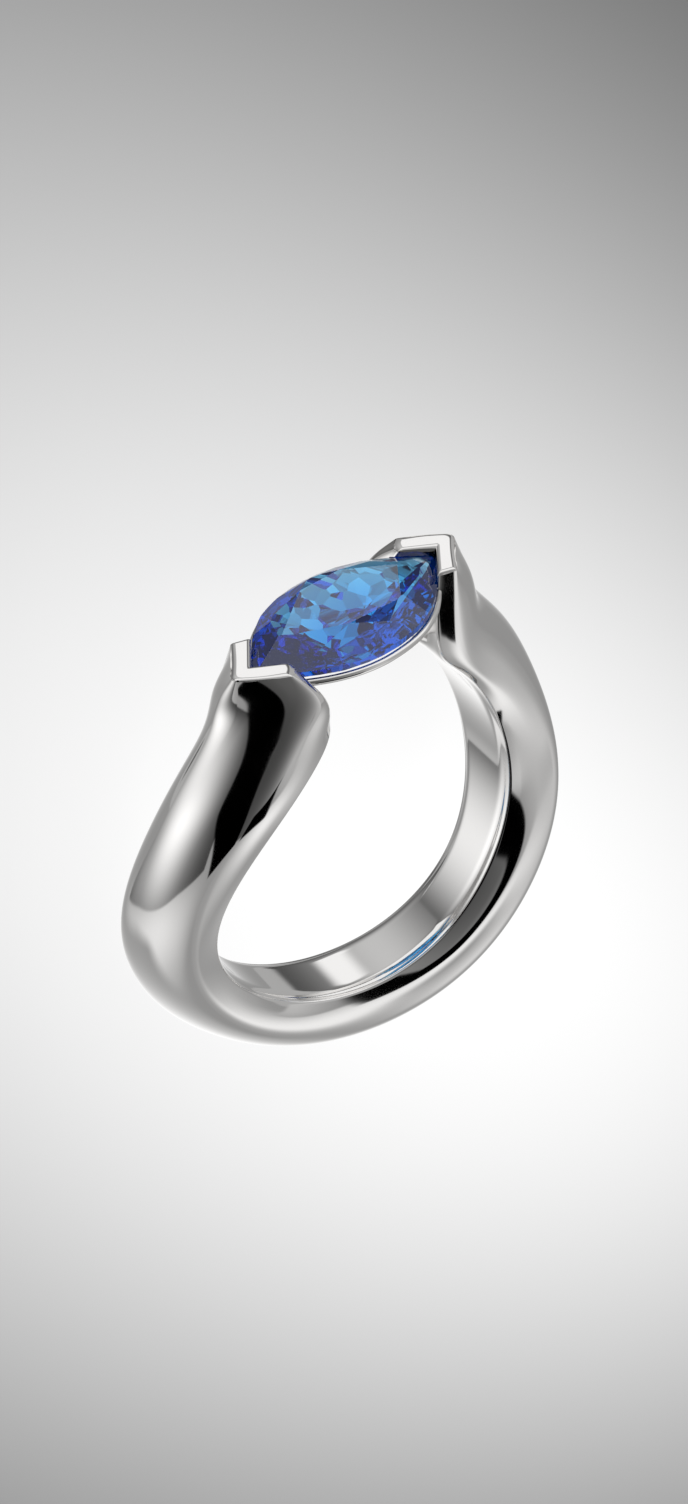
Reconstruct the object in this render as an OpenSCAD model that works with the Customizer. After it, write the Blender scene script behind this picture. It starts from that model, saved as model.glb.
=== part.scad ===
// Twist ring: one piece of polished white metal with a marquise stone.
// The band is open at the top. It turns out sideways on its way up and ends in
// two V-shaped heads, one at the front and one at the back of the finger. Each V
// holds one point of the stone. A thin wire runs under the edge of the stone and
// is soldered to both heads.
// The ring is drawn upright first, with the finger along Y and the stone on top.
// The front half is the back half turned half round about Z. The whole ring is
// then laid on its side, the way it rests on a table. Lengths are in mm.

/* [Finger hole] */
// Radius of the round wall of the finger hole
bore_r = 8.6; // [8.5:0.05:8.7]
// How far the hole opens at both of its edges
edge_flare = 0.15; // [0.1:0.05:0.2]
// Length over which it opens
edge_width = 0.5; // [0.4:0.1:0.6]

/* [Band] */
// Thickness of the band against the drawn one
thickness = 1; // [0.95:0.01:1.05]
// Stations between two rows of the band's table
steps = 6; // [4:1:8]

/* [Heads] */
// Height of the flat rims of the two heads above the finger's axis
rim_z = 12.0; // [11.9:0.05:12.2]

/* [Stone] */
// Length of the stone from point to point
stone_length = 12.2; // [12:0.1:12.2]
// Width of the stone
stone_width = 6.3; // [6.1:0.1:6.4]
// Height of the upper edge of its girdle above the finger's axis
girdle_z = 11.5; // [11.3:0.05:11.5]
// Thickness of the girdle
girdle_h = 0.25; // [0.2:0.05:0.3]
// Height of the crown over the girdle
crown_h = 0.8; // [0.7:0.05:1.0]
// Depth of the pavilion under the girdle
pavilion_h = 2.3; // [2.0:0.1:2.4]
// Direction of the long axis, seen from above
stone_turn = 19.5; // [19:0.5:20]
// Room left between the stone and its seats
seat_gap = 0.05; // [0.04:0.01:0.06]

/* [Gallery wire] */
// Radius of the wire
wire_r = 0.18; // [0.16:0.01:0.2]
// Distance from the lower edge of the girdle down to the wire's middle
wire_drop = 0.3; // [0.28:0.02:0.4]

/* [Hidden] */
$fn = 180;
edge_r = bore_r + edge_flare;
grow = edge_r - 8.75;
corner_lip = 0.15;
outline_power = 2.25;
wire_out = 0.04;
rest_tilt = 12.42;
rest_turn = 16.14;

// One row for each place along the back half of the band, from the bottom of
// the ring up to where the hole ends. Angles run round the finger, 0 is level.
// Heights are above the edge of the hole, y runs along the finger.
// BE, FE: back and front edge of the hole (angle, y)
// RI: ridge, BS and FS: back and front shoulder (angle, height, y)
// softness of ridge and shoulders, then bulge of the back and front flank and
// of the back and front side, between a shoulder and the hole
BE = 0;
FE = 2;
RI = 4;
BS = 7;
FS = 10;
SOFT = 13;
BAND = [
    [-90, 1.75, -90, -1.75, -90, 3.65, 0.00, -90, 1.85, 1.75, -90, 1.85, -1.75, 1, 1, 0.65, 0.65, 0.00, 0.00],
    [-60, 1.65, -60, -1.55, -60, 3.45, -0.45, -59, 1.75, 2.15, -56, 2.15, -1.70, 1, 1, 0.40, 0.80, 0.25, 0.55],
    [-30, 2.10, -30, -0.95, -30, 3.35, -0.20, -28, 1.50, 2.65, -24, 2.25, -1.30, 1, 1, 0.30, 0.50, 0.00, 0.25],
    [0, 3.70, 0, -0.55, -1, 3.20, 0.65, 1, 1.65, 4.20, -2, 2.20, -0.15, 1, 1, 0.50, 0.55, 0.05, 0.00],
    [25, 5.05, 23, 0.20, 25, 3.10, 1.75, 28, 2.20, 5.20, 21, 1.25, 0.15, 1, 0.95, 0.80, 0.45, 0.30, 0.00],
    [50, 5.35, 42, 0.10, 39, 3.15, 2.00, 45, 1.85, 5.50, 40, 0.70, 0.00, 1, 1, 0.60, 0.65, 0.20, 0.30],
    [72.6, 3.90, 58, -0.25, 52, 3.45, 2.00, 63, 2.20, 4.60, 51, 1.20, -0.30, 1, 0.75, 0.35, 0.65, 0.15, 0.20],
];

// The same corners over the hole, as points: half way up the head, and its rim.
// back edge, inner corner of the V, front edge, ridge, back shoulder, front
// shoulder, then the same six numbers as above
HEAD = [
    [[2.95, 3.10, 9.5], [5.35, 1.30, 9.7], [4.72, 0.00, 9.8],
        [7.32, 2.20, 10.75], [3.55, 4.25, 11.0], [6.00, -0.15, 10.2], 0.6, 1, 0.5, 0.8, 0.75, 0.1],
    [[4.32, 2.52, rim_z], [5.88, 1.98, rim_z], [4.78, 0.03, rim_z],
        [7.05, 2.50, rim_z], [4.80, 3.45, rim_z], [5.75, -0.05, rim_z], 0.6, 0.15, 0.15, 0, 0.1, 0],
];
// foot of the V's inner corner, on the hole
V_FOOT = [59, 0.5];
rows = len(BAND);
last_u = rows + 1;

function on_ring(t, h, y) = [(edge_r + h) * cos(t), y, (edge_r + h) * sin(t)];
function corner(r, c) = on_ring(r[c], thickness * r[c + 1], r[c + 2]);
function lift(p) = [p[0], p[1], p[2] + grow];
function half_turn(p) = [-p[0], -p[1], p[2]];
function unit(v) = v / norm(v);
function mix(a, b, f) = a * (1 - f) + b * f;

// smooth curve through P[1], P[2] ... with P[0] as the point before them
function curve(P, u) =
    let (i = max(0, min(floor(u), len(P) - 3)), f = u - i)
    let (a = P[i], b = P[i + 1], c = P[i + 2])
    let (d = i + 3 < len(P) ? P[i + 3] : 2 * c - b)
    (2 * b + (c - a) * f + (2 * a - 5 * b + 4 * c - d) * f * f
        + (3 * b - a - 3 * c + d) * f * f * f) / 2;
function straight(P, u) =
    let (i = min(floor(u), len(P) - 2))
    mix(P[i], P[i + 1], u - i);
// n points round the corner q, on the way from p to r
function soft_corner(p, q, r, sp, sr, n) =
    let (a = mix(q, p, sp / 2), b = mix(q, r, sr / 2))
    [for (k = [0:n - 1]) let (t = (k + 0.5) / n) mix(mix(a, q, t), mix(q, b, t), t)];
// middle of a flank, pushed out from the section's centre by h
function bulged(a, b, centre, h) =
    let (t = unit(b - a), m = (a + b) / 2, o = m - centre)
    m + unit(o - (o * t) * t) * h;

RIDGE = concat([half_turn(corner(BAND[1], RI))],
    [for (r = BAND) corner(r, RI)], [for (h = HEAD) lift(h[3])]);
BACK = concat([half_turn(corner(BAND[1], FS))],
    [for (r = BAND) corner(r, BS)], [lift(HEAD[0][4])]);
FRONT = concat([half_turn(corner(BAND[1], BS))],
    [for (r = BAND) corner(r, FS)], [for (h = HEAD) lift(h[5])]);
BACK_EDGE = concat([[-180 - BAND[1][FE], -BAND[1][FE + 1]]], [for (r = BAND) [r[BE], r[BE + 1]]]);
FRONT_EDGE = concat([[-180 - BAND[1][BE], -BAND[1][BE + 1]]], [for (r = BAND) [r[FE], r[FE + 1]]]);
MIDDLE = [for (i = [0:rows]) i < rows ? (BACK_EDGE[i] + FRONT_EDGE[i]) / 2 : V_FOOT];
SHAPE = concat([[for (k = [0, 1, 3, 2, 5, 4]) BAND[1][SOFT + k]]],
    [for (r = BAND) [for (k = [0:5]) r[SOFT + k]]], [for (h = HEAD) [for (k = [6:11]) h[k]]]);

// a corner that runs along the hole first and then up the inside of the head
function inner_at(P, c, u) =
    u <= rows - 1
        ? let (q = curve(P, u)) on_ring(q[0], 0, q[1])
        : let (q = P[rows]) straight(concat([on_ring(q[0], 0, q[1])],
            [for (h = HEAD) lift(h[c])]), u - rows + 1);
function lip(edge, inside, outside) =
    let (di = norm(inside - edge), do = norm(outside - edge))
    let (a = mix(edge, inside, min(edge_width, 0.45 * di) / di))
    let (b = mix(edge, outside, min(corner_lip, 0.2 * do) / do))
    [a, mix(mix(a, edge, 0.5), mix(edge, b, 0.5), 0.5), b];
// wall of the hole: kept inside the round wall, which is cut at the end
function bore_side(p, u) =
    u > rows - 1 ? p : let (t = atan2(p[2], p[0])) [(bore_r - 0.1) * cos(t), p[1], (bore_r - 0.1) * sin(t)];

function section(u) =
    let (s = curve(SHAPE, u), sr = max(0.1, min(1, s[0])), ss = max(0.1, min(1, s[1])))
    let (bi = inner_at(BACK_EDGE, 0, u), n = inner_at(MIDDLE, 1, u), fi = inner_at(FRONT_EDGE, 2, u))
    let (bs = u <= rows ? curve(BACK, u) : mix(lift(HEAD[0][4]), lift(HEAD[1][4]), u - rows))
    let (r = curve(RIDGE, u), fs = curve(FRONT, u), c = (bi + n + fi + bs + r + fs) / 6)
    let (mb = bulged(bs, r, c, max(0, s[2])), mf = bulged(r, fs, c, max(0, s[3])))
    let (sb = bulged(bi, bs, c, max(0, s[4])), sf = bulged(fs, fi, c, max(0, s[5])))
    let (top = r + (r - (mb + mf) / 2) * (sr / 4) / (1 - sr / 4))
    let (lb = lip(bi, n, sb), lf = lip(fi, n, sf))
    concat([lb[1], lb[2]],
        soft_corner(bi, sb, bs, 1, 1, 2),
        soft_corner(sb, bs, mb, ss, ss, 3),
        soft_corner(bs, mb, top, 1, 1, 3),
        soft_corner(mb, top, mf, sr, sr, 5),
        soft_corner(top, mf, fs, 1, 1, 3),
        soft_corner(mf, fs, sf, ss, ss, 3),
        soft_corner(fs, sf, fi, 1, 1, 2),
        [lf[2], lf[1]],
        [for (p = [lf[0], mix(lf[0], n, 0.5), n, mix(n, lb[0], 0.5), lb[0]]) bore_side(p, u)]);

OUTER = 25;
INNER = 5;
ROUND = OUTER + INNER;
// the turned copy of a section, its points put in the same order again
function turned(s) = [for (k = [0:ROUND - 1])
    half_turn(k < OUTER ? s[OUTER - 1 - k] : s[OUTER + ROUND - 1 - k])];

module band() {
    half = [for (k = [0:last_u * steps]) section(k / steps)];
    all = concat([for (k = [last_u * steps:-1:1]) turned(half[k])], half);
    m = len(all);
    sides = [for (j = [0:m - 2]) for (k = [0:ROUND - 1])
        let (a = j * ROUND + k, b = j * ROUND + (k + 1) % ROUND)
        each [[a, b, a + ROUND], [b, b + ROUND, a + ROUND]]];
    // the V-shaped rims, zipped from the outer to the inner line
    function rim(o, k) = o + (ROUND - 1 - round(k * (INNER - 1) / (OUTER - 1)));
    caps = [for (end = [0, 1]) let (o = end * (m - 1) * ROUND)
        each concat([end == 1 ? [o, o + ROUND - 1, o + 0] : []],
            [for (k = [0:OUTER - 2]) let (a = rim(o, k), b = rim(o, k + 1))
                each a == b ? [end == 1 ? [o + k, o + k + 1, a] : [o + k + 1, o + k, a]]
                    : end == 1 ? [[o + k, o + k + 1, a], [o + k + 1, b, a]]
                        : [[o + k + 1, o + k, a], [b, o + k + 1, a]]])];
    polyhedron(points = [for (s = all) each s],
        faces = concat(sides, [for (f = caps) if (len(f) == 3 && f[0] != f[2]) f]), convexity = 10);
}

// half width of the stone's outline at x, for half length a and half width b
function outline(phi, a, b) =
    let (x = cos(phi)) [a * x, b * (1 - pow(abs(x), outline_power)) * sign(sin(phi))];
function ring_of(a, b, z, angles) = [for (p = angles) let (q = outline(p, a, b)) [q[0], q[1], z]];

// corners of the stone's table, and the tips of the star facets round it
TABLE = [[3.60, 0.00], [1.60, 1.70], [-0.75, 1.95], [-4.05, 0.25], [-1.35, -1.35], [1.65, -1.80]];
STAR_TIPS = [[3.30, 1.35], [0.45, 2.40], [-3.30, 1.50], [-3.60, -1.35], [0.15, -2.40], [4.30, -0.75]];

// the cut stone: a six-sided table, a crown, a thin girdle, and a pavilion that
// ends in a short keel; gap makes it larger all round, to cut its seats
module stone_body(gap) {
    a = stone_length / 2 + 1.4 * gap;
    b = stone_width / 2 + gap;
    top = girdle_z + grow;
    low = top - girdle_h;
    between = [28, 73, 107, 152, 208, 253, 287, 332];
    many = [for (k = [0:31]) k * 11.25];
    table_z = top + crown_h + gap;
    kx = a / 6.1;
    ky = b / 3.15;
    rotate([0, 0, stone_turn]) hull() cloud(concat(
        [for (p = TABLE) [kx * p[0], ky * p[1], table_z]],
        [for (p = STAR_TIPS) [kx * p[0], ky * p[1], top + 0.65 * crown_h + gap]],
        ring_of(a, b, top + 0.4 * gap, many),
        ring_of(a, b, low - 0.4 * gap, many),
        ring_of(0.62 * a, 0.52 * b, low - 0.52 * pavilion_h - gap, between),
        [[-0.2 * a, 0, low - pavilion_h - gap], [0.2 * a, 0, low - pavilion_h - gap]]));
}
// points for a hull to close round
module cloud(pts) {
    n = len(pts);
    polyhedron(points = pts, faces = [for (k = [0:n - 3]) [k, k + 1, k + 2]]);
}

// closed wire that follows the stone's outline
module gallery_wire() {
    n = 72;
    k = 8;
    z = girdle_z + grow - girdle_h - wire_drop;
    path = [for (i = [0:n - 1]) outline(i * 360 / n, stone_length / 2 + wire_out, stone_width / 2 + wire_out)];
    points = [for (i = [0:n - 1])
        let (d = path[(i + 1) % n] - path[(i + n - 1) % n], o = unit([d[1], -d[0]]))
        each [for (j = [0:k - 1]) let (c = wire_r * cos(j * 360 / k))
            [path[i][0] + c * o[0], path[i][1] + c * o[1], z + wire_r * sin(j * 360 / k)]]];
    faces = [for (i = [0:n - 1]) for (j = [0:k - 1])
        let (a = i * k + j, b = i * k + (j + 1) % k)
        let (c = ((i + 1) % n) * k + j, d = ((i + 1) % n) * k + (j + 1) % k)
        each [[a, b, c], [b, d, c]]];
    rotate([0, 0, stone_turn]) polyhedron(points = points, faces = faces, convexity = 6);
}

// on its side: it stands on the underside of one arm and on the far shoulder of
// the shank, so the finger's axis leans a little
module lay_down() {
    rotate(a = rest_tilt, v = [sin(rest_turn), -cos(rest_turn), 0])
        rotate([-90, 0, 0]) children();
}

module ring_body() {
    color([0.82, 0.82, 0.84]) lay_down() difference() {
        union() {
            band();
            gallery_wire();
        }
        rotate([90, 0, 0]) cylinder(r = bore_r, h = 24, center = true);
        stone_body(seat_gap);
    }
}

module stone() {
    color([0.05, 0.25, 0.75]) lay_down() stone_body(0);
}

ring_body();
stone();
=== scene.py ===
# %% [markdown]
# # A twist ring with a marquise stone
# The real ring is one piece of polished white metal. The band starts round at
# the bottom, turns out sideways on its way up, and ends in two V-shaped heads
# that hold the two points of a long blue stone. A thin gallery wire runs under
# the stone's edge. The ring lies on its side, as it would on a table.
# Everything here is measured in millimetres of an upright ring, with the finger
# along Y and the stone on top. One matrix lays it down and turns it to metres.

# %% The fixed frame
import math

import bmesh
import bpy
import numpy as np
from mathutils import Matrix, Vector


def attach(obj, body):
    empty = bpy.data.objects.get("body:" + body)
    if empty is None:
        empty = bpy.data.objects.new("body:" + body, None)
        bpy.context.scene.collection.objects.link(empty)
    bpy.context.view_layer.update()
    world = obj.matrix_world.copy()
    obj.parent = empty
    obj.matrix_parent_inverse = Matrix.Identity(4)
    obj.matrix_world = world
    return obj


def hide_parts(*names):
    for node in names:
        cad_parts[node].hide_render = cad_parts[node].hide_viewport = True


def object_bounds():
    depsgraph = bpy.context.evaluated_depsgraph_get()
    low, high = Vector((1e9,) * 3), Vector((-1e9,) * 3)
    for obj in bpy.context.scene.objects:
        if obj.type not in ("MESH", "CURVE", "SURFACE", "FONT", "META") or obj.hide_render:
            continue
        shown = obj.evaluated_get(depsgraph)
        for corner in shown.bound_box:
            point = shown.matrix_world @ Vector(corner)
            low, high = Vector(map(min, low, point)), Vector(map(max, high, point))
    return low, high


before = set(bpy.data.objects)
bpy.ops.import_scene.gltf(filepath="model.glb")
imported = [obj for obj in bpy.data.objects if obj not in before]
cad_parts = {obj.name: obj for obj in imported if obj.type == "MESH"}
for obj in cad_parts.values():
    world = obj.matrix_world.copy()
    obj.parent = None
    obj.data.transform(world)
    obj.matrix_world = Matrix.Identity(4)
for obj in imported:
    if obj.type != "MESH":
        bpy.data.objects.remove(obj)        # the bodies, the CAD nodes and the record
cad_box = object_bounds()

MM = 0.001
REST_TILT, REST_TURN = math.radians(12.42), math.radians(16.14)
lean_axis = Vector((math.sin(REST_TURN), -math.cos(REST_TURN), 0))
lying_down = Matrix.Rotation(REST_TILT, 4, lean_axis) @ Matrix.Rotation(math.radians(-90), 4, "X")
to_table = Matrix.Scale(MM, 4) @ lying_down
print("CAD box, mm:", [[round(v / MM, 2) for v in corner] for corner in cad_box])

# %% [markdown]
# ## The band's sizes
# A jeweller draws such a band as cross-sections along its length. Each row of
# the table is one cross-section of the back half, from the bottom of the ring up
# to where the finger hole ends. Angles run round the finger, heights are over
# the edge of the hole, and y runs along the finger. The front half is the same
# shape turned half round, so one table is enough for both.

# %% Tables of the band and the heads
BORE_R, EDGE_R = 8.6, 8.75      # round wall of the finger hole, and its opened edge
EDGE_WIDTH, EDGE_ROUND = 0.5, 0.15

# back edge (angle, y), front edge (angle, y), ridge (angle, height, y),
# back shoulder and front shoulder (angle, height, y), softness of the ridge and
# of the shoulders, how far the back and the front flank bulge, and how far the
# back and the front side bulge between the shoulder and the hole
BAND = np.array([
    [-90, 1.75, -90, -1.75, -90, 3.65, 0.00, -90, 1.85, 1.75, -90, 1.85, -1.75, 1, 1, 0.65, 0.65, 0.00, 0.00],
    [-60, 1.65, -60, -1.55, -60, 3.45, -0.45, -59, 1.75, 2.15, -56, 2.15, -1.70, 1, 1, 0.40, 0.80, 0.25, 0.55],
    [-30, 2.10, -30, -0.95, -30, 3.35, -0.20, -28, 1.50, 2.65, -24, 2.25, -1.30, 1, 1, 0.30, 0.50, 0.00, 0.25],
    [0, 3.70, 0, -0.55, -1, 3.20, 0.65, 1, 1.65, 4.20, -2, 2.20, -0.15, 1, 1, 0.50, 0.55, 0.05, 0.00],
    [25, 5.05, 23, 0.20, 25, 3.10, 1.75, 28, 2.20, 5.20, 21, 1.25, 0.15, 1, 0.95, 0.80, 0.45, 0.30, 0.00],
    [50, 5.35, 42, 0.10, 39, 3.15, 2.00, 45, 1.85, 5.50, 40, 0.70, 0.00, 1, 1, 0.60, 0.65, 0.20, 0.30],
    [72.6, 3.90, 58, -0.25, 52, 3.45, 2.00, 63, 2.20, 4.60, 51, 1.20, -0.30, 1, 0.75, 0.35, 0.65, 0.15, 0.20],
])
RIM_Z = 12.0
# half way up a head, and its rim: back edge, inner corner of the V, front edge,
# ridge, back shoulder, front shoulder
HEAD = np.array([
    [[2.95, 3.10, 9.5], [5.35, 1.30, 9.7], [4.72, 0, 9.8],
     [7.32, 2.20, 10.75], [3.55, 4.25, 11.0], [6.00, -0.15, 10.2]],
    [[4.32, 2.52, RIM_Z], [5.88, 1.98, RIM_Z], [4.78, 0.03, RIM_Z],
     [7.05, 2.50, RIM_Z], [4.80, 3.45, RIM_Z], [5.75, -0.05, RIM_Z]],
])
HEAD_SHAPE = [[0.6, 1, 0.5, 0.8, 0.75, 0.1], [0.6, 0.15, 0.15, 0, 0.1, 0]]
V_FOOT = [59, 0.5]
ROWS = len(BAND)


# %% Curves through a table
def on_ring(angle, height, y):
    """The point at that angle round the finger."""
    t, r = np.radians(angle), EDGE_R + np.asarray(height)
    return np.stack([r * np.cos(t), y + 0 * t, r * np.sin(t)], -1)


def half_turn(points):
    return points * [-1, -1, 1]


def smooth_curve(rows, u):
    """The curve through rows[1], rows[2] and so on; rows[0] is the one before."""
    rows = np.asarray(rows, float)
    i = np.clip(np.floor(u).astype(int), 0, len(rows) - 3)
    f = (u - i)[:, None]
    a, b, c = rows[i], rows[i + 1], rows[i + 2]
    d = np.where((i + 3 < len(rows))[:, None], rows[np.minimum(i + 3, len(rows) - 1)], 2 * c - b)
    return (2 * b + (c - a) * f + (2 * a - 5 * b + 4 * c - d) * f**2 + (3 * b - a - 3 * c + d) * f**3) / 2


def straight_line(rows, u):
    rows = np.asarray(rows, float)
    i = np.clip(np.floor(u).astype(int), 0, len(rows) - 2)
    f = (u - i)[:, None]
    return rows[i] * (1 - f) + rows[i + 1] * f


def unit(v):
    return v / np.linalg.norm(v, axis=-1, keepdims=True)


def mix(a, b, f):
    return a * (1 - f) + b * f


# %% [markdown]
# ## The rails of the band
# Six long lines run the whole way from the bottom of the ring to the rim of a
# head: the two edges of the finger hole, the line between them, the ridge on
# the outside, and a shoulder on each side of it. Everything between them is
# filled in section by section, so the highlights flow along the band as they
# do on a filed and polished one.

# %% Rails at every station
PER_ROW = 20                 # sections between two rows of the table
RIM_ROUND = 0.2              # radius of the rounded rim
BELOW_RIM = 0.07             # where the flank stops and the rounding begins, in rows
stations = np.append(np.arange(0, ROWS * PER_ROW + PER_ROW - 1) / PER_ROW, ROWS + 1 - BELOW_RIM)

back_edge_rows = np.vstack([[-180 - BAND[1, 2], -BAND[1, 3]], BAND[:, 0:2]])
front_edge_rows = np.vstack([[-180 - BAND[1, 0], -BAND[1, 1]], BAND[:, 2:4]])
middle_rows = (back_edge_rows + front_edge_rows) / 2
middle_rows[ROWS] = V_FOOT
ridge_rows = on_ring(BAND[:, 4], BAND[:, 5], BAND[:, 6])
back_rows = on_ring(BAND[:, 7], BAND[:, 8], BAND[:, 9])
front_rows = on_ring(BAND[:, 10], BAND[:, 11], BAND[:, 12])
ridge_rows = np.vstack([half_turn(ridge_rows[1]), ridge_rows, HEAD[:, 3]])
before_back, before_front = half_turn(front_rows[1]), half_turn(back_rows[1])
back_rows = np.vstack([before_back, back_rows, HEAD[0, 4]])
front_rows = np.vstack([before_front, front_rows, HEAD[:, 5]])
shape_rows = np.vstack([BAND[1, [13, 14, 16, 15, 18, 17]], BAND[:, 13:19], HEAD_SHAPE])


def inner_rail(edge_rows, column, u):
    """Along the hole first, then up the inside of the head."""
    flat = smooth_curve(edge_rows, np.minimum(u, ROWS - 1))
    low = on_ring(flat[:, 0], 0, flat[:, 1])
    start = edge_rows[ROWS]
    corners = np.vstack([on_ring(start[0], 0, start[1]), HEAD[:, column]])
    up = straight_line(corners, np.maximum(u - ROWS + 1, 0))
    return np.where((u <= ROWS - 1)[:, None], low, up)


def rails(u):
    u = np.asarray(u, float)
    back = np.where((u <= ROWS)[:, None], smooth_curve(back_rows, u),
                    mix(HEAD[0, 4], HEAD[1, 4], (u - ROWS)[:, None]))
    return {"back_in": inner_rail(back_edge_rows, 0, u), "valley": inner_rail(middle_rows, 1, u),
            "front_in": inner_rail(front_edge_rows, 2, u), "ridge": smooth_curve(ridge_rows, u),
            "back": back, "front": smooth_curve(front_rows, u), "shape": smooth_curve(shape_rows, u)}


print("stations on one half of the band:", len(stations))

# %% [markdown]
# ## One cross-section
# A section goes round in one loop: over the back shoulder, the back flank, the
# ridge, the front flank and the front shoulder, over the front lip of the hole,
# and back across the inside. Soft corners are short parabolas whose size comes
# from the softness in the table, so a ridge can be a fold at the head and fade
# to nothing lower down.

# %% Section helpers
SHOULDER_STEPS, FLANK_STEPS, RIDGE_STEPS, LIP_STEPS, WALL_STEPS = 12, 8, 18, 7, 30
LEAST_SOFT = 0.1                          # even the sharpest fold is a little soft
LIP_SHARE_IN, LIP_SHARE_OUT = 0.45, 0.2   # the most of a side that a lip may take


def soft_corner(before, corner, after, soft_before, soft_after, n):
    a, b = mix(corner, before, soft_before / 2), mix(corner, after, soft_after / 2)
    return [mix(mix(a, corner, t), mix(corner, b, t), t) for t in (np.arange(n) + 0.5) / n]


def bulged(a, b, centre, height):
    along, middle = unit(b - a), (a + b) / 2
    out = middle - centre
    out = out - (out * along).sum(-1, keepdims=True) * along
    return middle + unit(out) * height


def lip(edge, inside, outside):
    """The rounded corner between the hole's wall and a flank, from inside out."""
    d_in = np.linalg.norm(inside - edge, axis=-1, keepdims=True)
    d_out = np.linalg.norm(outside - edge, axis=-1, keepdims=True)
    a = mix(edge, inside, np.minimum(EDGE_ROUND, LIP_SHARE_IN * d_in) / d_in)
    b = mix(edge, outside, np.minimum(EDGE_ROUND, LIP_SHARE_OUT * d_out) / d_out)
    return [mix(mix(a, edge, t), mix(edge, b, t), t) for t in np.linspace(0, 1, LIP_STEPS)]


def section_loop(r):
    """All points of the sections whose rails are given, as stations x points x 3."""
    shape = r["shape"]
    fold, soft = np.clip(shape[:, 0:1], LEAST_SOFT, 1), np.clip(shape[:, 1:2], LEAST_SOFT, 1)
    bulges = [np.maximum(0, shape[:, k:k + 1]) for k in range(2, 6)]
    back_in, valley, front_in = r["back_in"], r["valley"], r["front_in"]
    back, front, ridge = r["back"], r["front"], r["ridge"]
    centre = (back_in + valley + front_in + back + front + ridge) / 6
    back_flank = bulged(back, ridge, centre, bulges[0])
    front_flank = bulged(ridge, front, centre, bulges[1])
    back_side = bulged(back_in, back, centre, bulges[2])
    front_side = bulged(front, front_in, centre, bulges[3])
    # a soft corner cuts the ridge off, so its corner is lifted by as much
    top = ridge + (ridge - (back_flank + front_flank) / 2) * (fold / 4) / (1 - fold / 4)
    back_lip, front_lip = lip(back_in, valley, back_side), lip(front_in, valley, front_side)
    outer = (back_lip[1:]
             + soft_corner(back_in, back_side, back, 1, 1, FLANK_STEPS)
             + soft_corner(back_side, back, back_flank, soft, soft, SHOULDER_STEPS)
             + soft_corner(back, back_flank, top, 1, 1, FLANK_STEPS)
             + soft_corner(back_flank, top, front_flank, fold, fold, RIDGE_STEPS)
             + soft_corner(top, front_flank, front, 1, 1, FLANK_STEPS)
             + soft_corner(front_flank, front, front_side, soft, soft, SHOULDER_STEPS)
             + soft_corner(front, front_side, front_in, 1, 1, FLANK_STEPS)
             + front_lip[:0:-1])
    half = WALL_STEPS // 2
    inner = ([mix(front_lip[0], valley, t) for t in np.linspace(0, 1, half + 1)]
             + [mix(valley, back_lip[0], t) for t in np.linspace(0, 1, half + 1)[1:]])
    return np.stack(outer + inner, 1), len(outer)


loops, OUTER = section_loop(rails(stations))
print("points round a section:", loops.shape[1], "of them outside:", OUTER)

# %% [markdown]
# ## The wall of the finger hole
# The wall is a true cylinder, but a jeweller rolls its edges off so that the
# ring slides on and doesn't cut. The points across the hole are pulled out to
# the wall's radius, and over the last half millimetre the radius grows with the
# square of the distance, which keeps the reflection on the wall in one piece.

# %% Round the wall off
ROW_LENGTH = 3.0             # about how far two rows of the table lie apart


def pulled_to_wall(loops, u):
    on_hole = u <= ROWS - 1
    wall = loops[:, OUTER:].copy()
    angle = np.arctan2(wall[..., 2], wall[..., 0])
    radius = np.hypot(wall[..., 2], wall[..., 0])
    steps = np.linalg.norm(np.diff(wall, axis=1), axis=-1)
    from_front = np.concatenate([np.zeros((len(u), 1)), np.cumsum(steps, 1)], 1)
    from_back = from_front[:, -1:] - from_front
    to_top = np.maximum(0, (ROWS - 1 - u) * ROW_LENGTH)[:, None]
    distances = from_front, from_back, to_top + 0 * from_front
    open_up = [np.clip(1 - d / EDGE_WIDTH, 0, 1) ** 2 for d in distances]
    rise = 1 - np.prod([1 - f for f in open_up], 0)
    new = BORE_R + (EDGE_R - BORE_R) * rise
    pull = np.where(on_hole[:, None], new / radius, 1)
    wall[..., 0] *= pull
    wall[..., 2] *= pull
    loops[:, OUTER:] = wall
    return loops


loops = pulled_to_wall(loops, stations)


# %% [markdown]
# ## The rounded rim of a head
# A cast and polished edge is never sharp: a fine line of light runs round both
# rims. The last sections turn inwards over a quarter circle, and a flat face
# closes them. The corners are moved in the way a mitre is cut, so that the V
# keeps its width all round.

# %% Rim sections
ROUND_STEPS = 5
LAST_INSET = 0.03            # the flat face on top starts this far inside the rounding


def mitred(corners, inset):
    """The closed polygon of corners (in one plane, seen from above) moved inwards."""
    flat = corners[:, :2]
    area = 0.5 * np.sum(flat[:, 0] * np.roll(flat[:, 1], -1) - np.roll(flat[:, 0], -1) * flat[:, 1])
    sides = unit(np.roll(flat, -1, 0) - flat) * np.sign(area)
    inward = np.stack([-sides[:, 1], sides[:, 0]], 1)
    before = np.roll(inward, 1, 0)
    move = (inward + before) / (1 + (inward * before).sum(1, keepdims=True))
    out = corners.copy()
    out[:, :2] += inset * move
    return out


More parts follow.
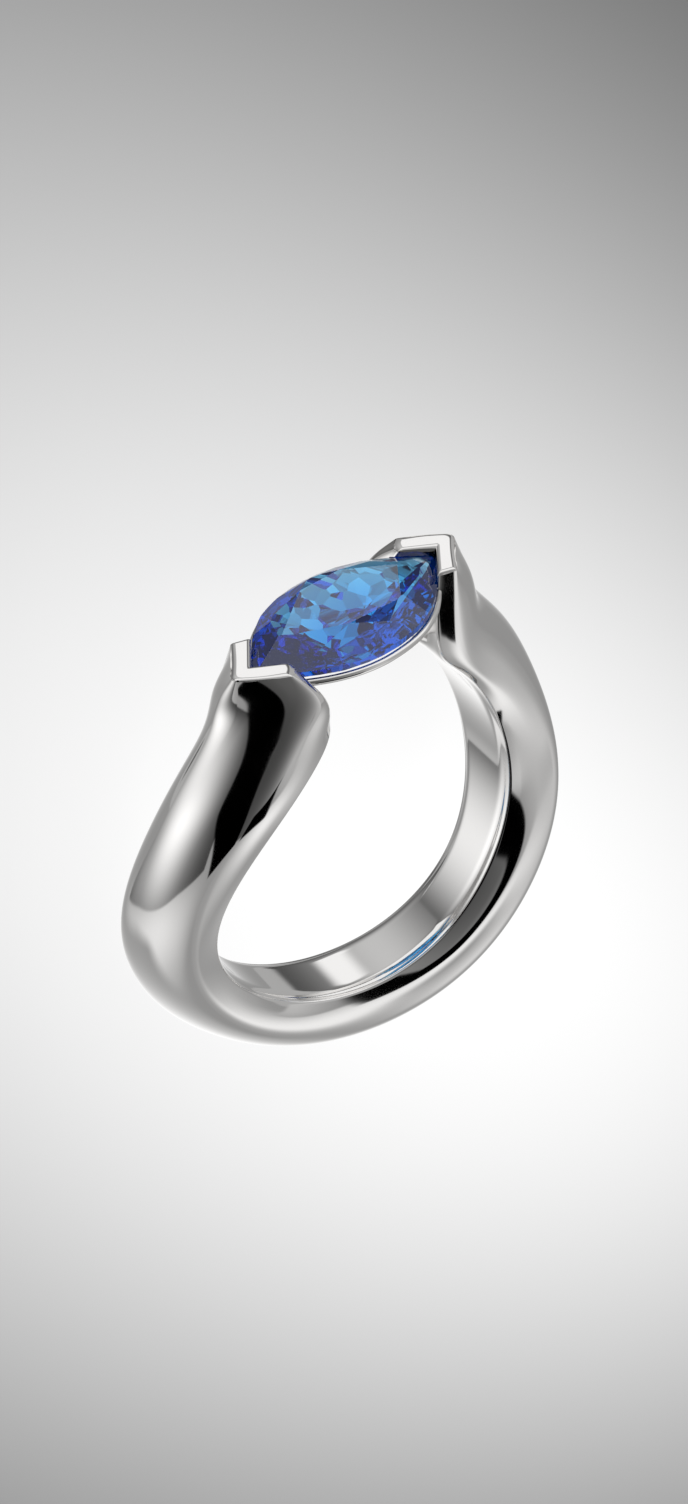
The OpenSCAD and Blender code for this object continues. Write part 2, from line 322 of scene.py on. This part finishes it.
CORNERS = ["back_in", "back", "ridge", "front", "front_in", "valley"]
end_rails, just_below = rails([ROWS + 1.0]), rails([ROWS + 0.99])
end = np.array([end_rails[k][0] for k in CORNERS])
slope = np.array([just_below[k][0] for k in CORNERS]) - end
slope = slope / -slope[:, 2:3]
rim_loops = []
for k in range(1, ROUND_STEPS + 2):
    turn = min(k, ROUND_STEPS) / ROUND_STEPS * math.pi / 2
    inset = RIM_ROUND * (1 - math.cos(turn)) + (LAST_INSET if k > ROUND_STEPS else 0)
    ring = mitred(end, inset) + slope * RIM_ROUND * (1 - math.sin(turn))
    r = {name: ring[i:i + 1] for i, name in enumerate(CORNERS)}
    r["shape"] = end_rails["shape"]
    rim_loops.append(section_loop(r)[0][0])
loops = np.concatenate([loops, rim_loops])
print("stations with the rim:", len(loops))

# %% [markdown]
# ## From sections to one skin
# The two halves meet at the bottom of the ring, so their sections line up there
# and the whole band is one grid of quads. The grid is ironed a little along its
# length, which takes out the small changes of pace between two rows of the
# table that a mirror finish would show.

# %% Build the band
IRONING_PASSES = 150


def turned(loop):
    """A section of the other half, its points put in the same order again."""
    n = len(loop)
    order = [(OUTER - 1 - k) if k < OUTER else (OUTER + n - 1 - k) for k in range(n)]
    return half_turn(loop)[order]


def ironed(grid, passes, keep):
    """Averages each station with its neighbours; the last `keep` stay."""
    grid = grid.copy()
    for _ in range(passes):
        middle = (grid[:-2] + 2 * grid[1:-1] + grid[2:]) / 4
        grid[keep:-keep] = middle[keep - 1:len(middle) - keep + 1]
    return grid


def quad(row, column, around):
    """The four corners of one face in a grid whose rows close on themselves."""
    beside, this, above = (column + 1) % around, row * around, (row + 1) * around
    return this + column, this + beside, above + beside, above + column


def new_piece(name, points, faces):
    """A mesh object from upright points in mm; its place is in the mesh."""
    mesh = bpy.data.meshes.new(name)
    mesh.from_pydata([to_table @ Vector(p) for p in points], [], faces)
    mesh.validate()
    mesh.update()
    piece = bpy.data.objects.new(name, mesh)
    bpy.context.scene.collection.objects.link(piece)
    return piece


grid = np.concatenate([[turned(s) for s in loops[:0:-1]], loops])
grid = ironed(grid, IRONING_PASSES, ROUND_STEPS + 2)
length, around = grid.shape[:2]
faces = [quad(j, k, around) for j in range(length - 1) for k in range(around)]
faces += [tuple(reversed(range(around))), tuple(range((length - 1) * around, length * around))]
ring_body = new_piece("ring_band", grid.reshape(-1, 3).tolist(), faces)
print("band:", length, "stations,", len(faces), "faces")


# %% [markdown]
# ## The stone's outline and the gallery wire
# A marquise outline is two arcs that meet in points. The power in the formula
# sets how full its middle is. The wire follows the same outline just under the
# girdle and is soldered into both heads, so it is joined to the band here.

# %% Outline and wire
STONE_LENGTH, STONE_WIDTH, OUTLINE_POWER = 12.2, 6.3, 2.25
GIRDLE_Z, GIRDLE_H, CROWN_H, PAVILION_H = 11.5, 0.25, 0.8, 2.3
STONE_TURN = math.radians(19.5)
SEAT_GAP, WIRE_R, WIRE_DROP, WIRE_OUT = 0.05, 0.18, 0.3, 0.04
WIRE_POINTS, WIRE_SIDES = 160, 16
turn_stone = Matrix.Rotation(STONE_TURN, 4, "Z")


def outline(angle, a, b):
    x = math.cos(angle)
    return a * x, b * (1 - abs(x) ** OUTLINE_POWER) * math.copysign(1, math.sin(angle))


def in_stone_frame(points):
    return [turn_stone @ Vector(p) for p in points]


def tube(path, radius, sides):
    n, points = len(path), []
    for i, p in enumerate(path):
        d = path[(i + 1) % n] - path[i - 1]
        out = Vector((d.y, -d.x, 0)).normalized()
        for j in range(sides):
            t = 2 * math.pi * j / sides
            points.append(p + radius * (math.cos(t) * out + math.sin(t) * Vector((0, 0, 1))))
    faces = [[corner % (n * sides) for corner in quad(i, j, sides)] for i in range(n) for j in range(sides)]
    return points, faces


wire_z = GIRDLE_Z - GIRDLE_H - WIRE_DROP
half_long, half_wide = STONE_LENGTH / 2 + WIRE_OUT, STONE_WIDTH / 2 + WIRE_OUT
wire_path = [Vector((*outline(2 * math.pi * (i + 0.5) / WIRE_POINTS, half_long, half_wide), wire_z))
             for i in range(WIRE_POINTS)]
points, faces = tube(wire_path, WIRE_R, WIRE_SIDES)
wire = new_piece("gallery_wire", in_stone_frame(points), faces)
way_round = sum((wire_path[i] - wire_path[i - 1]).length for i in range(WIRE_POINTS))
print("wire is", round(way_round, 1), "mm round")

# %% [markdown]
# ## The cut stone
# A cutter holds the rough against a flat wheel, once for every facet. Here a
# block with the stone's outline gets the same treatment: each facet is one plane
# that slices a little off and leaves a flat face. Flat faces that really meet in
# one line are what makes glass look like a gem, so this beats modelling a smooth
# blob and shading it.

# %% Cut one plane at a time
def block(outline_points, low, high):
    n = len(outline_points)
    mesh = bmesh.new()
    bottom = [mesh.verts.new((x, y, low)) for x, y in outline_points]
    top = [mesh.verts.new((x, y, high)) for x, y in outline_points]
    mesh.faces.new(reversed(bottom))
    mesh.faces.new(top)
    for i in range(n):
        mesh.faces.new((bottom[i], bottom[(i + 1) % n], top[(i + 1) % n], top[i]))
    return mesh


def cut(mesh, point, normal):
    """Slices off what lies on the side the normal points to, and closes the cut."""
    geometry = mesh.verts[:] + mesh.edges[:] + mesh.faces[:]
    made = bmesh.ops.bisect_plane(mesh, geom=geometry, plane_co=point, plane_no=normal,
                                  clear_outer=True, dist=1e-5)
    edges = [e for e in made["geom_cut"] if isinstance(e, bmesh.types.BMEdge) and e.is_boundary]
    if edges:
        bmesh.ops.contextual_create(mesh, geom=edges)
    return len(edges)


def through(a, b, c):
    """A plane through three points, facing away from the middle of the stone."""
    a, b, c = Vector(a), Vector(b), Vector(c)
    normal = (b - a).cross(c - a).normalized()
    return a, normal if normal.dot(a - Vector((0, 0, GIRDLE_Z - 0.3))) > 0 else -normal


# corner of the table (x, y), where the kite below it touches the girdle (angle),
# and the tip of the star facet after it (x, y)
CROWN = [
    (3.60, 0.00, 0, 3.30, 1.35),
    (1.60, 1.70, 60, 0.45, 2.40),
    (-0.75, 1.95, 105, -3.30, 1.50),
    (-4.05, 0.25, 180, -3.60, -1.35),
    (-1.35, -1.35, 245, 0.15, -2.40),
    (1.65, -1.80, 300, 4.30, -0.75),
]
HALVES = [0.25, 0.42, 0.58, 0.75]            # where the small facets touch, between two kites
STAR_DROP = 0.15                             # the tip of a star lies at least this far under the table
MAINS, KEEL, MAIN_FOOT = 12, 1.2, 0.45
table_z, girdle_low = GIRDLE_Z + CROWN_H, GIRDLE_Z - GIRDLE_H
keel_z = girdle_low - PAVILION_H


def girdle_point(angle, z):
    return Vector((*outline(math.radians(angle), STONE_LENGTH / 2, STONE_WIDTH / 2), z))


def touching(point, angle, z):
    """The plane through a point that only touches the girdle at that angle."""
    along = girdle_point(angle + 0.5, z) - girdle_point(angle - 0.5, z)
    touch = girdle_point(angle, z)
    return through(point, touch, touch + along)


def height_on(plane, x, y):
    point, normal = plane
    return point.z - (normal.x * (x - point.x) + normal.y * (y - point.y)) / normal.z


stone_mesh = block([girdle_point(5 * (i + 0.5), 0)[:2] for i in range(72)], keel_z, table_z)
corners = [Vector((x, y, table_z)) for x, y, *rest in CROWN]
kites = [touching(corners[i], CROWN[i][2], GIRDLE_Z) for i in range(6)]
crown_cuts = list(kites)
for i in range(6):
    after = (i + 1) % 6
    x, y = CROWN[i][3:]
    tip_z = min(height_on(kites[i], x, y), height_on(kites[after], x, y), table_z - STAR_DROP)
    tip = Vector((x, y, tip_z))
    crown_cuts.append(through(corners[i], corners[after], tip))
    start, stop = CROWN[i][2], CROWN[after][2] + 360 * (after == 0)
    crown_cuts += [touching(tip, start + (stop - start) * f, GIRDLE_Z) for f in HALVES]
print("crown cuts:", len(crown_cuts))

step = 360 / MAINS
feet = [Vector((math.copysign(KEEL, math.cos(math.radians(step * (i + 0.5)))), 0, keel_z))
        for i in range(MAINS)]
mains = [touching(feet[i], step * (i + 0.5), girdle_low) for i in range(MAINS)]
pavilion_cuts = list(mains)
for i in range(MAINS):
    x, y, z = feet[i].lerp(girdle_point(step * i, girdle_low), MAIN_FOOT)
    low_point = Vector((x, y, max(height_on(mains[i - 1], x, y), height_on(mains[i], x, y))))
    pavilion_cuts += [touching(low_point, step * (i + f), girdle_low) for f in (-0.25, 0.25)]
for point, normal in crown_cuts + pavilion_cuts:
    cut(stone_mesh, point, normal)
print("pavilion cuts:", len(pavilion_cuts))
bmesh.ops.dissolve_degenerate(stone_mesh, dist=1e-4, edges=stone_mesh.edges)
bmesh.ops.recalc_face_normals(stone_mesh, faces=stone_mesh.faces)
seat_mesh = stone_mesh.copy()
middle = Vector((0, 0, GIRDLE_Z))
room = Vector((1.4 * SEAT_GAP / (STONE_LENGTH / 2), SEAT_GAP / (STONE_WIDTH / 2), SEAT_GAP / CROWN_H))
for v in seat_mesh.verts:
    v.co += (v.co - middle) * room
stone_mesh.transform(to_table @ turn_stone)
mesh = bpy.data.meshes.new("blue_marquise")
stone_mesh.to_mesh(mesh)
stone = bpy.data.objects.new("blue_marquise", mesh)
bpy.context.scene.collection.objects.link(stone)
print("stone:", len(mesh.polygons), "faces")


# %% [markdown]
# ## Seats for the stone
# The setter cuts a notch into both heads, a little larger than the stone. The
# same is done here with a Boolean, after the wire has been joined to the band by
# another one. Creases sharper than 30 degrees then stay crisp, and the rest of
# the skin is shaded smooth.

# %% Join and cut
SHARP_ABOVE = math.radians(30)


def boolean(piece, tool, operation):
    step = piece.modifiers.new(operation, "BOOLEAN")
    step.operation, step.object, step.solver = operation, tool, "EXACT"
    seen = piece.evaluated_get(bpy.context.evaluated_depsgraph_get())
    made = bpy.data.meshes.new_from_object(seen)
    piece.modifiers.clear()
    piece.data = made
    bpy.data.objects.remove(tool)
    return len(made.polygons)


print("band and wire:", boolean(ring_body, wire, "UNION"), "faces")
seat = bpy.data.meshes.new("seat")
seat_mesh.transform(to_table @ turn_stone)
seat_mesh.to_mesh(seat)
seat_tool = bpy.data.objects.new("seat", seat)
bpy.context.scene.collection.objects.link(seat_tool)
print("with seats:", boolean(ring_body, seat_tool, "DIFFERENCE"), "faces")
for face in ring_body.data.polygons:
    face.use_smooth = True
ring_body.data.set_sharp_from_angle(angle=SHARP_ABOVE)


# %% [markdown]
# ## White metal
# Polished white metal is a mirror with a trace of warmth. A buffing wheel leaves
# very fine lines and a faint unevenness, so the roughness wanders a little.

# %% The metal
def material(name):
    made = bpy.data.materials.new(name)
    made.use_nodes = True
    tree = made.node_tree
    return made, tree, tree.nodes["Principled BSDF"]


def add(tree, kind, inputs=None, **settings):
    node = tree.nodes.new(kind)
    for key, value in settings.items():
        setattr(node, key, value)
    for key, value in (inputs or {}).items():
        node.inputs[key].default_value = value
    return node


white_metal, tree, shader = material("polished_white_metal")
shader.inputs["Base Color"].default_value = (0.84, 0.83, 0.82, 1)
shader.inputs["Metallic"].default_value = 1
place = add(tree, "ShaderNodeTexCoord")
clouds = add(tree, "ShaderNodeTexNoise", {"Scale": 420, "Detail": 3})
gloss = add(tree, "ShaderNodeMapRange",
            {"From Min": 0.3, "From Max": 0.7, "To Min": 0.045, "To Max": 0.085})
tree.links.new(place.outputs["Object"], clouds.inputs["Vector"])
tree.links.new(clouds.outputs["Fac"], gloss.inputs["Value"])
tree.links.new(gloss.outputs["Result"], shader.inputs["Roughness"])
ring_body.data.materials.clear()
ring_body.data.materials.append(white_metal)

# %% [markdown]
# ## The blue of the stone
# A sapphire bends light far more than window glass, which is why its facets
# flash. The colour isn't on the surface: light loses its red and green on its
# way through, so a long way inside gives navy and a short one sky blue. Under
# the girdle the cutter breaks the big facets up into dozens of tiny ones, so
# that the stone glitters like crushed ice. Slicing those one by one would take
# hours; here a pattern of cells tilts the surface a little, a different way in
# every cell, and only below the girdle. A real stone has no light of its own;
# here a faint blue glow lifts the darkest parts a little.

# %% The stone's material
CELLS_PER_METRE, CELL_TILT = 1300, 0.6
blue, tree, shader = material("blue_stone")
for socket, value in (("Base Color", (0.85, 0.95, 1, 1)), ("IOR", 1.76), ("Transmission Weight", 1),
                      ("Emission Color", (0, 0.1, 0.4, 1)), ("Emission Strength", 0.03)):
    shader.inputs[socket].default_value = value
body = add(tree, "ShaderNodeVolumeAbsorption", {"Color": (0.0, 0.7, 0.94, 1), "Density": 1000})
tree.links.new(body.outputs["Volume"], tree.nodes["Material Output"].inputs["Volume"])

place = add(tree, "ShaderNodeTexCoord")
cells = add(tree, "ShaderNodeTexVoronoi", {"Scale": CELLS_PER_METRE})
stone_up = lying_down.to_3x3() @ Vector((0, 0, 1))
height = add(tree, "ShaderNodeVectorMath", {1: stone_up}, operation="DOT_PRODUCT")
below = add(tree, "ShaderNodeMath", {1: (GIRDLE_Z - GIRDLE_H) * MM}, operation="LESS_THAN")
tilt = add(tree, "ShaderNodeMath", {1: CELL_TILT}, operation="MULTIPLY")
centred = add(tree, "ShaderNodeVectorMath", {1: (0.5, 0.5, 0.5)}, operation="SUBTRACT")
scaled = add(tree, "ShaderNodeVectorMath", operation="SCALE")
surface = add(tree, "ShaderNodeNewGeometry")
leaning = add(tree, "ShaderNodeVectorMath", operation="ADD")
straight = add(tree, "ShaderNodeVectorMath", operation="NORMALIZE")
for a, b in ((place.outputs["Object"], cells.inputs["Vector"]), (place.outputs["Object"], height.inputs[0]),
             (height.outputs["Value"], below.inputs[0]), (below.outputs[0], tilt.inputs[0]),
             (cells.outputs["Color"], centred.inputs[0]), (centred.outputs[0], scaled.inputs[0]),
             (tilt.outputs[0], scaled.inputs["Scale"]), (surface.outputs["Normal"], leaning.inputs[0]),
             (scaled.outputs[0], leaning.inputs[1]), (leaning.outputs[0], straight.inputs[0]),
             (straight.outputs[0], shader.inputs["Normal"])):
    tree.links.new(a, b)

wheel_marks = add(tree, "ShaderNodeTexNoise", {"Scale": 900, "Detail": 2})
polish = add(tree, "ShaderNodeMapRange",
             {"From Min": 0.3, "From Max": 0.7, "To Min": 0.0, "To Max": 0.008})
tree.links.new(place.outputs["Object"], wheel_marks.inputs["Vector"])
tree.links.new(wheel_marks.outputs["Fac"], polish.inputs["Value"])
tree.links.new(polish.outputs["Result"], shader.inputs["Roughness"])
stone.data.materials.append(blue)

# %% Put both pieces on the frame
for piece, node, slot in ((ring_body, "ring_body", "white_metal"), (stone, "stone", "blue_stone")):
    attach(piece, "root")
    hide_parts(node)

# %% [markdown]
# ## The floor
# Such rings are often photographed on a sheet of white acrylic that is lit from
# below. The light makes an oval pool that fades outwards, and it washes nearly
# all of the ring's shadow away. The sheet glows here in the same way. It is
# switched off for mirrored light and for light through the stone, and it blocks
# no light: the lower half of the dome stands in for it there, where the pools
# can be put as the reflections in the metal ask for.

# %% Floor
POOL_CENTRE, POOL_TURN = Vector((0.008, -0.0103, 0)), math.radians(47)
POOL_ACROSS, POOL_ALONG, POOL_LIGHT = 0.0225, 0.053, 1.0      # half widths of the soft oval
FLOOR_R, FLOOR_POINTS = 2.5, 96
floor_z = cad_box[0].z
bpy.ops.mesh.primitive_circle_add(vertices=FLOOR_POINTS, radius=FLOOR_R, fill_type="NGON",
                                  location=(0, 0, floor_z))
floor = bpy.context.object
floor.name = "studio_floor"
pale, tree, shader = material("pale_acrylic")
shader.inputs["Base Color"].default_value = (0.10, 0.10, 0.10, 1)
shader.inputs["Roughness"].default_value = 0.7
place = add(tree, "ShaderNodeTexCoord")
oval = add(tree, "ShaderNodeMapping", {"Location": POOL_CENTRE, "Rotation": (0, 0, POOL_TURN),
                                      "Scale": (POOL_ACROSS, POOL_ALONG, 1)}, vector_type="TEXTURE")
away = add(tree, "ShaderNodeVectorMath", operation="LENGTH")
tree.links.new(place.outputs["Object"], oval.inputs["Vector"])
tree.links.new(oval.outputs["Vector"], away.inputs[0])
square = add(tree, "ShaderNodeMath", {1: 2}, operation="POWER")
falloff = add(tree, "ShaderNodeMath", {1: -0.5}, operation="MULTIPLY")
bell = add(tree, "ShaderNodeMath", operation="EXPONENT")
glow = add(tree, "ShaderNodeMapRange", {"To Min": 0.0, "To Max": POOL_LIGHT})
for a, b in ((away.outputs["Value"], square), (square.outputs[0], falloff),
             (falloff.outputs[0], bell), (bell.outputs[0], glow)):
    tree.links.new(a, b.inputs[0])
tree.links.new(glow.outputs["Result"], shader.inputs["Emission Strength"])
shader.inputs["Emission Color"].default_value = (1, 1, 1, 1)
floor.data.materials.append(pale)
floor.visible_glossy = False
floor.visible_transmission = False
floor.visible_shadow = False

# %% [markdown]
# ## The camera
# The camera was found by matching the outline of the ring: it looks down on the
# upright ring from the front right. The same matrix that laid the ring down
# carries the camera along.

# %% Camera
AZIMUTH, ELEVATION, ROLL = math.radians(30.845), math.radians(35.839), math.radians(0.068)
NEARNESS, LEFT_OF_HOLE, ABOVE_HOLE = 0.045, 0.005, 0.373   # in radii of the hole's opened edge
PIXELS_PER_EDGE_R, IMAGE_HEIGHT, SENSOR = 192.37, 1504, 36
DISTANCE = EDGE_R / NEARNESS
back = Vector((-math.sin(AZIMUTH) * math.cos(ELEVATION), -math.cos(AZIMUTH) * math.cos(ELEVATION),
               math.sin(ELEVATION)))
right = Vector((math.cos(AZIMUTH), -math.sin(AZIMUTH), 0))
up = back.cross(right)
right, up = right * math.cos(ROLL) + up * math.sin(ROLL), up * math.cos(ROLL) - right * math.sin(ROLL)
eye = -LEFT_OF_HOLE * EDGE_R * right + ABOVE_HOLE * EDGE_R * up + DISTANCE * back
camera_data = bpy.data.cameras.new("camera")
camera_data.sensor_fit = "VERTICAL"
camera_data.sensor_height = camera_data.sensor_width = SENSOR
camera_data.lens = PIXELS_PER_EDGE_R * DISTANCE / EDGE_R * SENSOR / IMAGE_HEIGHT
camera_data.clip_start, camera_data.clip_end = 0.01, 10
camera = bpy.data.objects.new("camera", camera_data)
bpy.context.scene.collection.objects.link(camera)
turn = lying_down.to_3x3()
axes = [turn @ right, turn @ up, turn @ back]
camera.matrix_world = Matrix.Translation(to_table @ eye) @ Matrix(axes).transposed().to_4x4()
bpy.context.scene.camera = camera
print("camera at", [round(v, 3) for v in camera.location], "lens", round(camera_data.lens, 1))

# %% [markdown]
# ## The studio round the ring
# Polished metal has hardly any look of its own: it shows the room. A jewellery
# photographer hangs lit screens and black cards round the ring and moves them
# until the bands of light and dark describe its shape. Here they are painted on
# a dome, each as a flat card at distance one from the ring. A screen with a lamp
# behind it is brightest in front of the lamp and fades to its edges, and that
# slow fade is what makes a highlight look round. Later cards hang in front of
# earlier ones.

# %% Cards on the dome
BASE_LIGHT = 0.45
LEAST_AHEAD = 0.02           # a card isn't seen from beside it or from behind
# Where a card hangs: degrees round the upright ring (0 on the camera's side, 90
# on the right), degrees up, and how far it leans. Then its left, right, low and
# high edge and their softness, the lamp's place on it (across, up), how wide and
# how high its light spreads, and the brightness at the lamp and far from it.
CARDS = [
    ("ground", 0, -90, 0, -9, 9, -9, 9, 0.3, 0, 0, 1, 1, 0.33, 0.33),
    ("pool of light, left", -112, -52, 0, -9, 9, -0.55, 0.42, 0.3, 0, 0, 0.42, 0.26, 0.90, 0.33),
    ("pool of light, right", 36, -38, 0, -0.9, 0.9, -0.9, 0.5, 0.25, 0, 0, 0.28, 0.26, 1.0, 0.36),
    ("pool of light, behind", 155, -48, 0, -0.9, 0.9, -0.7, 0.7, 0.3, 0, 0, 0.3, 0.3, 1.1, 0.36),
    ("ceiling", 150, 60, 0, -1.6, 1.6, -0.35, 0.75, 0.3, 0, 0, 1, 1, 1.0, 1.0),
    ("screen behind", 172, 20, 0, -0.8, 0.66, -0.4, 0.85, 0.05, 0, 0.55, 0.4, 0.45, 0.62, 0.06),
    ("white card over the rims", 149, 36, 0, -0.12, 0.12, -0.12, 0.12, 0.1, 0, 0, 1, 1, 1.05, 1.05),
    ("big screen, left", -105, 0, 0, -0.95, 1.19, -0.87, 1.28, 0.05, -0.2, 0.1, 0.46, 0.6, 1.25, 0.05),
    ("grey wall in front", 0, 0, 0, -0.78, 1.1, -0.45, 1.3, 0.1, 1, 0.2, 0.5, 0.8, 0.60, 0.06),
    ("black card", -45, 0, 16, -0.19, 0.44, -0.75, 4.5, 0.04, 0, 0, 1, 1, 0, 0),
    ("low black card", 14, 0, 0, -0.36, 0.24, -0.58, -0.06, 0.06, 0, 0, 1, 1, 0, 0),
]


def wire_up(node, socket, value):
    """A number is set on the socket, and another node's output is linked to it."""
    if isinstance(value, bpy.types.NodeSocket):
        node.id_data.links.new(value, node.inputs[socket])
    elif value is not None:
        node.inputs[socket].default_value = value


def calculate(tree, operation, a, b=None, c=None):
    node = add(tree, "ShaderNodeMath", operation=operation)
    for socket, value in enumerate((a, b, c)):
        wire_up(node, socket, value)
    return node.outputs[0]


def along_axis(tree, direction, axis):
    node = add(tree, "ShaderNodeVectorMath", operation="DOT_PRODUCT")
    tree.links.new(direction, node.inputs[0])
    node.inputs[1].default_value = axis
    return node.outputs["Value"]


def between(tree, value, low, high, soft):
    """1 between low and high, 0 outside, with soft edges."""
    away = calculate(tree, "ABSOLUTE", calculate(tree, "SUBTRACT", value, (low + high) / 2))
    half = (high - low) / 2
    node = add(tree, "ShaderNodeMapRange", {"From Min": half - soft / 2, "From Max": half + soft / 2,
                                            "To Min": 1, "To Max": 0}, interpolation_type="SMOOTHSTEP")
    tree.links.new(away, node.inputs["Value"])
    return node.outputs["Result"]


def card_axes(round_it, up, lean):
    """The way to a card, its right and its up, on the lying ring."""
    a, e, t = (math.radians(v) for v in (round_it, up, lean))
    ahead = Vector((math.cos(e) * math.sin(a), -math.cos(e) * math.cos(a), math.sin(e)))
    right = Vector((math.cos(a), math.sin(a), 0))
    upward = ahead.cross(right)
    axes = ahead, right * math.cos(t) + upward * math.sin(t), upward * math.cos(t) - right * math.sin(t)
    return [lying_down.to_3x3() @ axis for axis in axes]


def hang(tree, direction, light, card):
    """The light of the dome once this card hangs in front of it."""
    _, round_it, up, lean, left, right, low, high, soft, lamp_x, lamp_y, wide, tall, bright, dim = card
    ahead, across, upward = (along_axis(tree, direction, axis) for axis in card_axes(round_it, up, lean))
    depth = calculate(tree, "MAXIMUM", ahead, LEAST_AHEAD)
    x, y = calculate(tree, "DIVIDE", across, depth), calculate(tree, "DIVIDE", upward, depth)
    wide_enough, high_enough = between(tree, x, left, right, soft), between(tree, y, low, high, soft)
    cover = calculate(tree, "MULTIPLY", wide_enough, high_enough)
    cover = calculate(tree, "MULTIPLY", cover, calculate(tree, "GREATER_THAN", ahead, LEAST_AHEAD))
    glow = dim
    if bright != dim:
        dx = calculate(tree, "DIVIDE", calculate(tree, "SUBTRACT", x, lamp_x), wide)
        dy = calculate(tree, "DIVIDE", calculate(tree, "SUBTRACT", y, lamp_y), tall)
        away = calculate(tree, "MULTIPLY_ADD", dx, dx, calculate(tree, "MULTIPLY", dy, dy))
        bell = calculate(tree, "EXPONENT", calculate(tree, "MULTIPLY", away, -0.5))
        glow = calculate(tree, "MULTIPLY_ADD", bell, bright - dim, dim)
    return calculate(tree, "MULTIPLY_ADD", calculate(tree, "SUBTRACT", glow, light), cover, light)


scene = bpy.context.scene
studio = bpy.data.worlds.new("studio_dome")
studio.use_nodes = True
tree = studio.node_tree
direction = add(tree, "ShaderNodeTexCoord").outputs["Generated"]
light = BASE_LIGHT
for card in CARDS:
    light = hang(tree, direction, light, card)
tree.links.new(light, tree.nodes["Background"].inputs["Strength"])
tree.nodes["Background"].inputs["Color"].default_value = (1, 1, 1, 1)
scene.world = studio
scene.view_settings.view_transform = "Standard"
print("cards on the dome:", len(CARDS))
